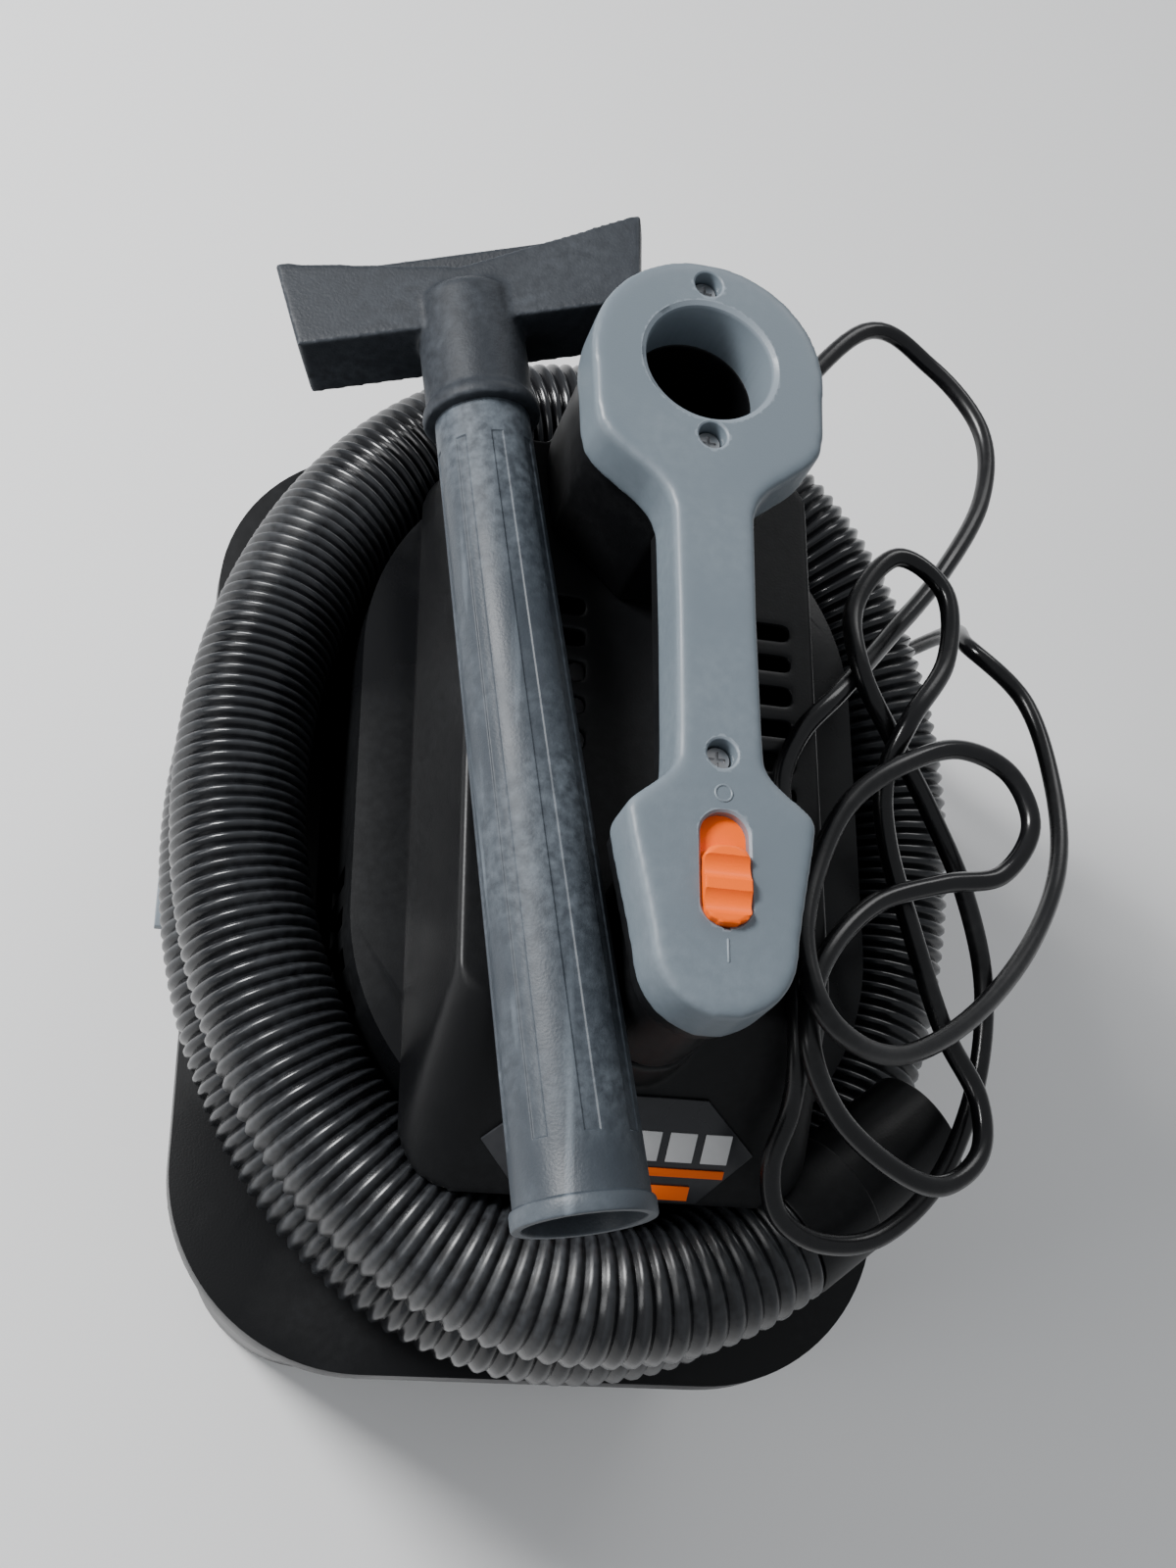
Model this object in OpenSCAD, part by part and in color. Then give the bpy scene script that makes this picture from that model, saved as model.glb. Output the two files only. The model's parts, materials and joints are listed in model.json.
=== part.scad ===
// Compact wet and dry shop vacuum with its hose wound round the head.
// Origin: centre of the tank on the floor. +Z up, the front looks along -Y.

/* [Tank] */
// Width of the tank across its rim
tank_w = 300; // [292:1:300]
// Length of the tank along its rim
tank_l = 424; // [418:1:424]
// Height of the rim above the floor
tank_h = 172; // [170:1:172]
// Thickness of the tank wall
wall = 3; // [2:0.5:4]

/* [Head] */
// Width of the deck that the hose lies round
deck_w = 210; // [204:1:210]
// Length of the deck
deck_l = 310; // [300:1:310]
// Height of the deck's top face above the floor
deck_z = 288; // [286:1:288]
// Height of the flat top of the motor cover
cover_z = 345; // [340:1:346]

/* [Handle] */
// Height of the handle's top face above the floor
handle_z = 430; // [428:1:434]
// Radius of the ring at the rear of the handle
ring_r = 44.5; // [43:0.5:46]
// Radius of the accessory hole through the ring
hole_r = 24; // [23:0.5:25]
// Half width of the grip
grip_w = 15; // [14:0.5:17]

/* [Hose and wand] */
// Outside diameter of the corrugated hose
hose_d = 54; // [50:1:54]
// Length of the tapered wand
wand_l = 330; // [310:5:335]
// Diameter of the power cord
cord_d = 8; // [7:0.5:8]

/* [Hidden] */
$fn = 64;

black = [0.09, 0.09, 0.10];
grey = [0.38, 0.40, 0.42];
orange = [0.93, 0.33, 0.08];
steel = [0.70, 0.71, 0.73];

tank_taper = 19;                // how far each wall leans in towards the floor
foot_h = 8;
lid_bottom = tank_h + 3;        // underside of the lid plate, on top of the gasket
lid_top = lid_bottom + 5;
loop_x = 4;                     // centre of the hose's loop and of the deck
loop_a = 148;                   // half width and half length of the hose's loop
loop_b = 194;
hose_r = hose_d / 2;
low_z = lid_top + 27;           // height of the lower turn and of the upper turn
high_z = low_z + 55;
ring_y = 114;                   // centre of the ring
tower_r = ring_r - 4;
plate_t = 25;                   // thickness of the grey upper half of the handle
seam_z = handle_z - plate_t;    // where the grey half meets the black half
switch_y = -84;
screw_y = [148, 82, -43];
strip_w = grip_w - 3;           // half width of the black strip under the grip
socket_floor = cover_z + 6;
pin_z = lid_bottom - 3;
latch_x = tank_w / 2 + 8;

// ---------- outlines ----------

// A rectangle with round corners, made of exact arcs
module round_rect(w, l, r) {
    square([w - 2 * r, l], center = true);
    square([w, l - 2 * r], center = true);
    for (sx = [-1, 1], sy = [-1, 1])
        translate([sx * (w / 2 - r), sy * (l / 2 - r)]) circle(r);
}

// A slot with round ends along Y
module slot(w, l) {
    square([w, l - w], center = true);
    for (s = [-1, 1]) translate([0, s * (l - w) / 2]) circle(d = w);
}

// The rear ring with its two horns, drawn inset by m
module ring_outline(m = 0) {
    translate([0, ring_y]) circle(ring_r - m);
    polygon([[-ring_r + m, ring_y], [-ring_r + 2 + m, ring_y - 32 + m], [-ring_r + 7 + m, ring_y - 38 + m],
        [-grip_w + m, ring_y - 56], [grip_w - m, ring_y - 56], [ring_r - 7 - m, ring_y - 38 + m],
        [ring_r - 2 - m, ring_y - 32 + m], [ring_r - m, ring_y]]);
}

// The front plate that carries the switch, drawn inset by m
module front_outline(m = 0) {
    translate([0, -109]) circle(25 - m);
    polygon([[-25 + m, -109], [-33 + m, -66], [-31 + m, -60 - m], [-grip_w + m, -47],
        [grip_w - m, -47], [31 - m, -60 - m], [33 - m, -66], [25 - m, -109]]);
}

// ---------- tank ----------

module tank_form(m, z0, z1) {
    lean = tank_taper;
    hull() {
        translate([0, 0, z0])
            linear_extrude(0.1) round_rect(tank_w - 2 * (lean + m), tank_l - 2 * (lean + m), 60 - m);
        translate([0, 0, z1 - 0.1]) linear_extrude(0.1) round_rect(tank_w - 2 * m, tank_l - 2 * m, 78 - m);
    }
}

module tank() {
    color(black) difference() {
        tank_form(0, foot_h, tank_h);
        tank_form(wall, foot_h + wall, tank_h + 1);
    }
}

module tank_feet() {
    color("dimgray") for (sx = [-1, 1], sy = [-1, 1])
        translate([sx * 88, sy * 150, 0]) cylinder(r1 = 11, r2 = 13, h = foot_h);
}

// ---------- lid and deck ----------

module lid_ears() {
    for (sx = [-1, 1], y = [-26, 21.5])
        translate([sx * (latch_x - 1) - 6, y, pin_z - 6]) cube([12, 4.5, 9]);
}

module lid() {
    color(black) difference() {
        union() {
            translate([0, 0, lid_bottom]) linear_extrude(5) round_rect(tank_w + 8, tank_l + 8, 82);
            translate([0, 0, lid_bottom - 8]) linear_extrude(8) difference() {
                round_rect(tank_w + 8, tank_l + 8, 82);
                round_rect(tank_w + 2, tank_l + 2, 79);
            }
            lid_ears();
        }
        translate([0, 0, lid_bottom - 1]) cylinder(r = 42, h = 8);
        translate([46, port_y, lid_bottom - 1]) cylinder(r = 9, h = 8);
        translate([0, 0, pin_z]) for (sx = [-1, 1])
            translate([sx * latch_x, -40, 0]) rotate([-90, 0, 0]) cylinder(r = 2, h = 80);
    }
}

module lid_gasket() {
    color("dimgray") translate([0, 0, tank_h]) linear_extrude(3) difference() {
        round_rect(tank_w, tank_l, 78);
        round_rect(tank_w - 8, tank_l - 8, 74);
    }
}

// Cooling slots low on both front corners of the deck
module deck_slots() {
    for (sx = [-1, 1], i = [0:3])
        translate([loop_x + sx * 88 - 24, -92 + i * 17, 236]) cube([48, 8, 32]);
}

module deck() {
    color(black) translate([0, 0, lid_top]) difference() {
        translate([loop_x, 0, 0]) linear_extrude(deck_z - lid_top) round_rect(deck_w, deck_l, 100);
        translate([loop_x, 0, -1]) linear_extrude(deck_z - lid_top - 3)
            round_rect(deck_w - 6, deck_l - 6, 97);
        translate([0, 0, deck_z - lid_top - 5]) cylinder(r = 68, h = 6);
        translate([0, 0, -lid_top]) deck_slots();
        for (p = cover_screw_at)
            translate([p[0], p[1], deck_z - lid_top - 5]) cylinder(r = 2, h = 6);
    }
}

// ---------- motor cover ----------

cover_screw_at = [[-66, -112], [66, -112], [-66, 122], [66, 122]];

module cover_form(m) {
    hull() {
        translate([0, -10, deck_z - (m > 0 ? 1 : 0)])
            linear_extrude(0.1) round_rect(160 - 2 * m, 308 - 2 * m, 24 - m);
        translate([0, 10, cover_z - 0.1 - m]) linear_extrude(0.1)
            round_rect(140 - 2 * m, 232 - 2 * m, 14 - m);
    }
}

module cover_slots() {
    for (s = [-1, 1], i = [0:5])
        translate([s * 42 - 18, -20.4 + i * 14.2, cover_z - 8]) cube([36, 6.4, 10]);
}

module motor_cover() {
    color(black) difference() {
        union() {
            difference() {
                cover_form(0);
                cover_form(wall);
            }
            translate([0, 0, deck_z]) linear_extrude(cover_z - deck_z) ring_outline(4);
            translate([0, -108, deck_z]) cylinder(r = 21, h = cover_z - deck_z);
        }
        translate([0, ring_y, deck_z - 1]) cylinder(r = 30, h = cover_z - deck_z - 2);
        cover_slots();
    }
}

module cover_screws() {
    color(steel) for (p = cover_screw_at)
        translate([p[0], p[1], deck_z - 12]) cylinder(r = 2, h = 12);
}

// ---------- handle ----------

module screw_holes() {
    for (y = screw_y) translate([0, y, seam_z - 12]) cylinder(r = 2, h = 20);
}

module handle_base() {
    color(black) difference() {
        translate([0, 0, cover_z]) linear_extrude(seam_z - cover_z) ring_outline(4);
        translate([0, ring_y, socket_floor]) cylinder(r = hole_r, h = 100);
        screw_holes();
    }
}

module grip_underside() {
    color(black) difference() {
        translate([-strip_w, -47, seam_z - 13]) cube([2 * strip_w, ring_y - 9, 13]);
        screw_holes();
    }
}

module handle_pillar() {
    color(black) {
        translate([0, 0, seam_z - 10]) linear_extrude(10) front_outline(2);
        translate([0, 0, cover_z]) linear_extrude(seam_z - 10 - cover_z) translate([0, -91]) slot(38, 74);
    }
}

module handle_top() {
    color(grey) difference() {
        translate([0, 0, seam_z]) union() {
            linear_extrude(plate_t) ring_outline();
            linear_extrude(plate_t) front_outline();
            translate([-grip_w, -56, 0]) cube([2 * grip_w, 130, plate_t]);
        }
        translate([0, ring_y, seam_z - 1]) cylinder(r = hole_r, h = plate_t + 2);
        for (y = screw_y) {
            translate([0, y, seam_z - 1]) cylinder(r = 2, h = plate_t);
            translate([0, y, handle_z - 9]) cylinder(r = 5.2, h = 10);
        }
        translate([-12, switch_y - 29, seam_z - 1]) cube([24, 62, plate_t - 2]);
        translate([0, switch_y, handle_z - 5]) linear_extrude(6) slot(17, 40);
    }
}

module handle_screws() {
    color(steel) for (y = screw_y) translate([0, y, seam_z - 12]) {
        cylinder(r = 2, h = plate_t + 3);
        difference() {
            translate([0, 0, plate_t + 3]) cylinder(r = 4.4, h = 3);
            translate([-0.6, -3, plate_t + 5]) cube([1.2, 6, 2]);
            translate([-3, -0.6, plate_t + 5]) cube([6, 1.2, 2]);
        }
    }
}

module switch_body() {
    color("dimgray") difference() {
        translate([-11, switch_y - 21, seam_z]) cube([22, 42, 14]);
        translate([-3, switch_y - 9, seam_z + 10]) cube([6, 18, 5]);
    }
}

module switch_button() {
    color(orange) {
        translate([-10, switch_y - 27, handle_z - 8]) cube([20, 50, 4]);
        translate([0, switch_y - 6, handle_z - 4]) linear_extrude(7) slot(16, 26);
        translate([-2.5, switch_y - 8, handle_z - 13]) cube([5, 8, 5]);
    }
}

// ---------- motor and fan ----------

module impeller_housing() {
    color("silver") translate([0, 0, lid_top]) difference() {
        union() {
            cylinder(r = 78, h = 4);
            cylinder(r = 72, h = 42);
        }
        translate([0, 0, 4]) cylinder(r = 69, h = 34);
        translate([0, 0, -1]) cylinder(r = 26, h = 6);
        translate([0, 0, 37]) cylinder(r = 13, h = 6);
        for (a = [0:45:315]) rotate(a + 22.5) translate([60, -9, 10]) cube([20, 18, 22]);
    }
}

module motor_can() {
    color("gray") translate([0, 0, lid_top + 42]) difference() {
        cylinder(r = 50, h = 90);
        translate([0, 0, 10]) cylinder(r = 46, h = 70);
        translate([0, 0, -1]) cylinder(r = 6, h = 92);
        translate([0, 0, 2]) cylinder(r = 11, h = 9);
        translate([0, 0, 79]) cylinder(r = 11, h = 9);
        for (a = [0:60:300]) rotate(a + 30) translate([38, -7, 20]) cube([20, 14, 50]);
    }
}

module field_winding() {
    color("peru") translate([0, 0, lid_top + 60]) difference() {
        cylinder(r = 46, h = 40);
        translate([0, 0, -1]) cylinder(r = 31, h = 42);
    }
}

module carbon_brushes() {
    color("dimgray") for (s = [-1, 1])
        translate([s * 29 - 16.6, -4, lid_top + 110]) cube([33.2, 8, 8]);
}

module bearing_ring(z) {
    color(steel) translate([0, 0, z]) difference() {
        cylinder(r = 11, h = 7);
        translate([0, 0, -1]) cylinder(r = 4.05, h = 9);
    }
}

module bearing_lower() { bearing_ring(lid_top + 44); }
module bearing_upper() { bearing_ring(lid_top + 121); }

module motor_shaft() {
    color(steel) translate([0, 0, lid_top + 6]) cylinder(r = 4, h = 124);
}

module armature() {
    color("peru") translate([0, 0, lid_top + 62]) difference() {
        union() {
            cylinder(r = 29, h = 36);
            cylinder(r = 12, h = 58);
        }
        translate([0, 0, -1]) cylinder(r = 4, h = 60);
    }
}

module impeller() {
    color("silver") translate([0, 0, lid_top + 12]) difference() {
        union() {
            cylinder(r = 62, h = 2);
            translate([0, 0, 18]) linear_extrude(2) difference() {
                circle(62);
                circle(28);
            }
            cylinder(r = 10, h = 20);
            for (a = [0:45:315]) rotate(a) translate([26, 0, 1]) rotate(-28)
                translate([0, -1, 0]) cube([35, 2, 18]);
        }
        translate([0, 0, -1]) cylinder(r = 4, h = 22);
    }
}

module fan_nut() {
    color(steel) translate([0, 0, lid_top + 7]) difference() {
        cylinder(r = 8, h = 5, $fn = 6);
        translate([0, 0, -1]) cylinder(r = 4, h = 7);
    }
}

module sound_foam() {
    color([0.3, 0.3, 0.32]) translate([0, 0, lid_top + 46]) difference() {
        cylinder(r = 66, h = 60);
        translate([0, 0, -1]) cylinder(r = 54, h = 62);
    }
}

// ---------- filter and float ----------

cage_z = 70;
cage_r = 40;

module filter_cage() {
    color(black) difference() {
        union() {
            translate([0, 0, lid_bottom - 4]) cylinder(r = 66, h = 4);
            translate([0, 0, cage_z]) cylinder(r = cage_r, h = lid_bottom - cage_z);
            translate([0, 0, cage_z - 20]) cylinder(r = 4, h = 21);
        }
        translate([0, 0, cage_z + 3]) cylinder(r = cage_r - 3, h = 120);
        for (a = [0:45:315], z = [0:2])
            rotate(a) translate([30, -9, cage_z + 10 + z * 28]) cube([20, 18, 20]);
    }
}

// A pleated ring: the outline goes in and out once for each pleat
function pleats(n, r0, r1) =
    [for (i = [0:2 * n - 1]) let (r = i % 2 ? r0 : r1, a = i * 180 / n) [r * cos(a), r * sin(a)]];

module filter() {
    color("white") {
        translate([0, 0, cage_z + 4]) linear_extrude(lid_bottom - cage_z - 14) difference() {
            polygon(pleats(48, 55, 62));
            circle(cage_r + 1);
        }
        for (z = [cage_z, lid_bottom - 10]) translate([0, 0, z]) linear_extrude(4) difference() {
            circle(64);
            circle(cage_r + 1);
        }
    }
}

module filter_retainer() {
    color(black) translate([0, 0, cage_z - 4]) difference() {
        cylinder(r = 60, h = 4);
        translate([0, 0, -1]) cylinder(r = 4.3, h = 6);
    }
}

module filter_nut() {
    color(orange) translate([0, 0, cage_z - 15]) difference() {
        union() {
            cylinder(r = 11, h = 11);
            translate([-24, -3, 0]) cube([48, 6, 9]);
        }
        translate([0, 0, -1]) cylinder(r = 4.08, h = 13);
    }
}

module float_ball() {
    color("white") translate([0, 0, cage_z + 24]) sphere(r = 20.9);
}

// ---------- inlet ----------

port_y = 189;
port_r = 25;

module inlet_port() {
    color(black) difference() {
        union() {
            translate([32, port_y, low_z]) rotate([0, 90, 0]) cylinder(r = port_r, h = 34);
            translate([34, port_y - 12, lid_top]) cube([30, 24, 12]);
        }
        translate([31, port_y, low_z]) rotate([0, 90, 0]) cylinder(r = 20, h = 32);
        translate([46, port_y, lid_top - 1]) cylinder(r = 9, h = 24);
    }
}

module inlet_deflector() {
    color(black) difference() {
        translate([46, port_y, lid_bottom - 26]) cylinder(r = 7.5, h = 31);
        translate([46, port_y, lid_bottom - 20]) cylinder(r = 6, h = 40);
        translate([36, port_y - 12, lid_bottom - 20]) cube([20, 10, 14]);
    }
}

// ---------- badge ----------

// The front slope of the cover, from its foot to its top edge
slope_run = 58;
slope_a = atan2(cover_z - deck_z, slope_run);

module on_front_slope(lift) {
    translate([0, -164, deck_z]) rotate([slope_a, 0, 0]) translate([0, 0, lift]) children();
}

module front_badge() {
    color([0.16, 0.16, 0.17]) on_front_slope(0.15) linear_extrude(1.2)
        polygon([[-34, 2], [34, 2], [52, 24], [30, 46], [-30, 46], [-52, 24]]);
}

module badge_stripe() {
    color(orange) on_front_slope(1.35) {
        translate([-36, 13.5, 0]) cube([78, 3.4, 0.6]);
        translate([6, 3.5, 0]) cube([24, 6, 0.6]);
    }
}

// ---------- latches ----------

module latch(s) {
    color(grey) translate([s * latch_x, 0, pin_z]) difference() {
        union() {
            translate([0, -20, 0]) rotate([-90, 0, 0]) cylinder(r = 3.8, h = 40);
            translate([s > 0 ? -2 : -3, -20, -38]) cube([5, 40, 38]);
            translate([s > 0 ? -6.5 : 1, -14, -34]) cube([5.5, 28, 6]);
            translate([s > 0 ? 2 : -9, -20, -40]) cube([7, 40, 5]);
        }
        translate([0, -21, 0]) rotate([-90, 0, 0]) cylinder(r = 2.06, h = 42);
    }
}

module latch_left() { latch(-1); }
module latch_right() { latch(1); }

module latch_pins() {
    color(steel) for (s = [-1, 1])
        translate([s * latch_x, -27, pin_z]) rotate([-90, 0, 0]) cylinder(r = 2, h = 54);
}

// ---------- sweep along a route ----------

function unit(v) = v / norm(v);
function smooth(t) = t <= 0 ? 0 : t >= 1 ? 1 : t * t * (3 - 2 * t);

// A point on the smooth curve between q[i] and q[i + 1], at t from 0 to 1
function spline(q, i, t) =
    let (n = len(q) - 1,
        a = i > 0 ? q[i - 1] : 2 * q[0] - q[1],
        b = q[i],
        c = q[i + 1],
        d = i + 2 <= n ? q[i + 2] : 2 * q[n] - q[n - 1])
    (2 * b + (c - a) * t + (2 * a - 5 * b + 4 * c - d) * t * t + (3 * b - a - 3 * c + d) * t * t * t) / 2;

function curve(q, k) = concat(
    [for (i = [0:len(q) - 2], j = [0:k - 1]) spline(q, i, j / k)], [q[len(q) - 1]]);

function tangent(p, i) = unit(p[min(i + 1, len(p) - 1)] - p[max(i - 1, 0)]);

// The side direction of each ring, carried along without twist
function sides(p, i = 0, s = undef) =
    let (t = tangent(p, i),
        s0 = is_undef(s) ? cross(t, abs(t[2]) < 0.9 ? [0, 0, 1] : [1, 0, 0]) : s,
        s1 = unit(s0 - (s0 * t) * t))
    i == len(p) - 1 ? [s1] : concat([s1], sides(p, i + 1, s1));

module tube(p, r, n) {
    side = sides(p);
    points = [for (i = [0:len(p) - 1]) let (t = tangent(p, i), u = side[i], v = cross(t, u))
        for (k = [0:n - 1]) p[i] + r * (cos(k * 360 / n) * u + sin(k * 360 / n) * v)];
    last = (len(p) - 1) * n;
    walls = [for (i = [0:len(p) - 2], k = [0:n - 1])
        [i * n + k, i * n + (k + 1) % n, (i + 1) * n + (k + 1) % n, (i + 1) * n + k]];
    polyhedron(points, concat([[for (k = [n - 1:-1:0]) k]], walls, [[for (k = [0:n - 1]) last + k]]));
}

// ---------- hose ----------

hose_start = 112;               // angles round the loop, counted from +X
climb_start = 330;
climb_end = 420;
hose_end = 660;

function loop_at(a) = [loop_x + loop_a * cos(a), loop_b * sin(a),
    low_z + (high_z - low_z) * smooth((a - climb_start) / (climb_end - climb_start))];

cuff_in_x = -14;                // where the hose leaves its inlet cuff
end_turn = atan2(loop_b * cos(hose_end), -loop_a * sin(hose_end));
hose_route = concat([[cuff_in_x, port_y, low_z], [cuff_in_x - 18, port_y - 2, low_z]],
    [for (a = [hose_start:8:hose_end]) loop_at(a)], [loop_at(hose_end)]);

module hose() { color(black) tube(hose_route, hose_r, 12); }

module hose_cuff_inlet() {
    color(black) difference() {
        translate([cuff_in_x, port_y, low_z]) rotate([0, 90, 0]) cylinder(r = 26.5, h = 46);
        translate([cuff_in_x + 14, port_y, low_z]) rotate([0, 90, 0]) cylinder(r = 25, h = 36);
    }
}

cuff_l = 78;

module hose_cuff_free() {
    color(black) translate(loop_at(hose_end)) rotate([0, 90, end_turn]) difference() {
        union() {
            cylinder(r = 27, h = 30);
            cylinder(r = 24.5, h = cuff_l);
        }
        translate([0, 0, 12]) cylinder(r = 22, h = cuff_l);
    }
}

// ---------- wand and nozzle ----------

wand_at = [-31, -189.4, 371];     // middle of the wand's open end
wand_turn = 7.76;               // how far the wand points to the left of +Y

module along_wand() {
    translate(wand_at) rotate([0, 0, wand_turn]) rotate([-90, 0, 0]) children();
}

module wand() {
    color([0.25, 0.26, 0.28]) along_wand() difference() {
        union() {
            cylinder(r1 = 23.2, r2 = 17.7, h = wand_l);
            cylinder(r = 24.5, h = 6);
        }
        translate([0, 0, -1]) cylinder(r1 = 20.8, r2 = 15.4, h = wand_l + 2);
    }
}

collar_z = wand_l - 26;
head_z = wand_l + 12;           // where the nozzle's wide head starts
mouth_z = head_z + 38;

lip_z = mouth_z + 12;           // the lower lip stands out past the upper one

module nozzle_head(m, z0, z1) {
    hull() {
        translate([0, 4, z0]) cube([132 - 2 * m, 34 - 2 * m, 1], center = true);
        translate([0, 1, z1]) cube([147 - 2 * m, 26 - 2 * m, 1], center = true);
    }
}

module nozzle() {
    color([0.2, 0.21, 0.23]) along_wand() rotate([0, 0, -18]) difference() {
        union() {
            translate([0, 0, collar_z]) cylinder(r = 21.6, h = 5);
            translate([0, 0, collar_z]) cylinder(r = 20.6, h = mouth_z - 24 - collar_z);
            translate([0, 0, mouth_z - 24]) cylinder(r1 = 20.6, r2 = 17, h = 4);
            nozzle_head(0, head_z, lip_z);
        }
        translate([0, 0, collar_z - 1]) cylinder(r = 18.8, h = 31);
        translate([0, 0, collar_z]) cylinder(r = 14, h = 48);
        nozzle_head(wall + 1, head_z + 4, lip_z + 1);
        translate([-80, 0, mouth_z]) rotate([90, 0, 90])
            linear_extrude(160) polygon([[-16, -1.5], [16, 13], [-16, 14]]);
        translate([0, 0, mouth_z]) rotate([90, 0, 0])
            linear_extrude(16) polygon([[-66, 4], [66, 4], [66, 0], [0, -12], [-66, 0]]);
    }
}

// ---------- power cord ----------

exit_turn = 40;                 // direction in which the cord leaves, from +X
exit_z = 322;
relief_l = 38;
exit_at = [0, ring_y, exit_z] + tower_r * [cos(exit_turn), sin(exit_turn), 0];
relief_end = exit_at + relief_l * [cos(exit_turn), sin(exit_turn), 0];

cord_route = [
    relief_end, [113, 228, 319], [150, 223, 309], [173, 193, 308], [169, 154, 310], [143, 109, 317],
    [110, 67, 330], [80, 30, 347], [61, 8, 350], [52, -14, 350], [54, -37, 350], [56, -65, 350],
    [54, -96, 351], [56, -120, 345], [58, -136, 330], [54, -154, 319], [60, -170, 309],
    [79, -178, 303], [105, -173, 298], [131, -150, 297], [149, -113, 298], [154, -73, 303],
    [145, -37, 311], [127, -7, 322], [106, 16, 337], [88, 38, 350], [88, 69, 347], [109, 96, 345],
    [130, 83, 344], [127, 50, 346], [108, 20, 349], [100, -2, 339], [104, -26, 329], [115, -58, 322],
    [128, -96, 317], [141, -122, 316], [138, -145, 319], [118, -159, 325], [94, -154, 333],
    [70, -139, 344], [56, -117, 357], [62, -88, 357], [87, -60, 349], [119, -46, 343], [147, -38, 339],
    [162, -16, 339], [153, 5, 342], [128, 10, 348], [100, -3, 354], [77, -22, 356], [61, -51, 360],
    [52, -84, 366], [60, -113, 368], [94, -117, 347], [136, -93, 325], [177, -52, 302], [205, -7, 282],
    [215, 39, 267], [210, 84, 258], [186, 112, 253], [204, 148, 200], [208, 185, 90], [200, 225, 16],
    [166, 244, 4], [128, 244, 4], [92, 244, 4]];
plug_at = [100, 252, 40];

coil_at = [90, 300, 0];
coil_h = 40;

module strain_relief() {
    color("dimgray") translate(exit_at) rotate([0, 90, exit_turn]) cylinder(r1 = 8.5, r2 = 5, h = relief_l);
}

module power_cord() { color(black) tube(curve(cord_route, 2), cord_d / 2, 10); }

module cord_coil() {
    color(black) translate(coil_at) rotate_extrude() translate([36, 0]) square([24, coil_h]);
}

module plug_body() {
    color(black) translate(plug_at) rotate(180) hull() {
        translate([0, -11, 0]) cube([26, 22, 18]);
        translate([-14, -6, 2]) cube([2, 12, 12]);
    }
}

module plug_blades() {
    color(steel) translate(plug_at) rotate(180) {
        for (y = [-7.1, 5.6]) translate([26, y, 9]) cube([17, 1.5, 6.3]);
        translate([26, 0, 4.5]) rotate([0, 90, 0]) cylinder(r = 2.4, h = 19);
    }
}

tank();
tank_feet();
lid();
lid_gasket();
deck();
motor_cover();
cover_screws();
handle_base();
grip_underside();
handle_pillar();
handle_top();
handle_screws();
switch_body();
switch_button();
impeller_housing();
motor_can();
field_winding();
carbon_brushes();
bearing_lower();
bearing_upper();
motor_shaft();
armature();
impeller();
fan_nut();
sound_foam();
filter_cage();
filter();
filter_retainer();
filter_nut();
float_ball();
inlet_port();
inlet_deflector();
front_badge();
badge_stripe();
latch_left();
latch_right();
latch_pins();
hose_cuff_inlet();
hose();
hose_cuff_free();
wand();
nozzle();
strain_relief();
power_cord();
cord_coil();
plug_body();
plug_blades();
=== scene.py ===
import json
import math

import bmesh
import bpy
from mathutils import Matrix, Vector

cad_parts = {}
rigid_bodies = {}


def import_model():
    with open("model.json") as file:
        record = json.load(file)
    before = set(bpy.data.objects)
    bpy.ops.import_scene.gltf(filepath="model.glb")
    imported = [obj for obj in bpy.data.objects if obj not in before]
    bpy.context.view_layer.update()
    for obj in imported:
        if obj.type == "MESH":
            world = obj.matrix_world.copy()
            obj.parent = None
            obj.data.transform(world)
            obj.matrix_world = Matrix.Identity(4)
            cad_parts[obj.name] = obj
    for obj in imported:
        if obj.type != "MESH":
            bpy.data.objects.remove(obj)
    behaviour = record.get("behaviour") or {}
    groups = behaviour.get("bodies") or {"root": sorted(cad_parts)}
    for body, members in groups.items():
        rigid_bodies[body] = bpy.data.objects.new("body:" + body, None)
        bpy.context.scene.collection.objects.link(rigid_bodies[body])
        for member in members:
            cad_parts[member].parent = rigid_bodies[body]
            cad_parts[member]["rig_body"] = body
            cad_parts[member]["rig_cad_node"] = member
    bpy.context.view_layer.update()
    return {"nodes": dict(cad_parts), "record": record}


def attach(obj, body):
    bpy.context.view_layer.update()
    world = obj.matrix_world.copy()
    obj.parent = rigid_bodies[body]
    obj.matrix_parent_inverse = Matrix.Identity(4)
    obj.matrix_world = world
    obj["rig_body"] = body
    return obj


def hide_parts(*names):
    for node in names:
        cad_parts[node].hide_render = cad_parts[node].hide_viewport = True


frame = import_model()
nodes = frame["nodes"]
mm = 0.001
print("frame loaded:", len(nodes), "nodes")


def selectOnly(obj):
    bpy.ops.object.select_all(action="DESELECT")
    obj.select_set(True)
    bpy.context.view_layer.objects.active = obj


def applyAll(obj):
    selectOnly(obj)
    for modifier in list(obj.modifiers):
        bpy.ops.object.modifier_apply(modifier=modifier.name)


def editFaces(obj, wanted):  # opens edit mode with only the wanted faces selected
    selectOnly(obj)
    bpy.ops.object.mode_set(mode="EDIT")
    bpy.ops.mesh.select_mode(type="FACE")
    bpy.ops.mesh.select_all(action="DESELECT")
    mesh = bmesh.from_edit_mesh(obj.data)
    for face in mesh.faces:
        if wanted(face.calc_center_median(), face.normal):
            face.select_set(True)
    bmesh.update_edit_mesh(obj.data)


def closeEdit():
    bpy.ops.object.mode_set(mode="OBJECT")


def fixNormals(obj):
    selectOnly(obj)
    bpy.ops.object.mode_set(mode="EDIT")
    bpy.ops.mesh.select_all(action="SELECT")
    bpy.ops.mesh.remove_doubles(threshold=0.02 * mm)
    bpy.ops.mesh.normals_make_consistent(inside=False)
    bpy.ops.object.mode_set(mode="OBJECT")


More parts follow.
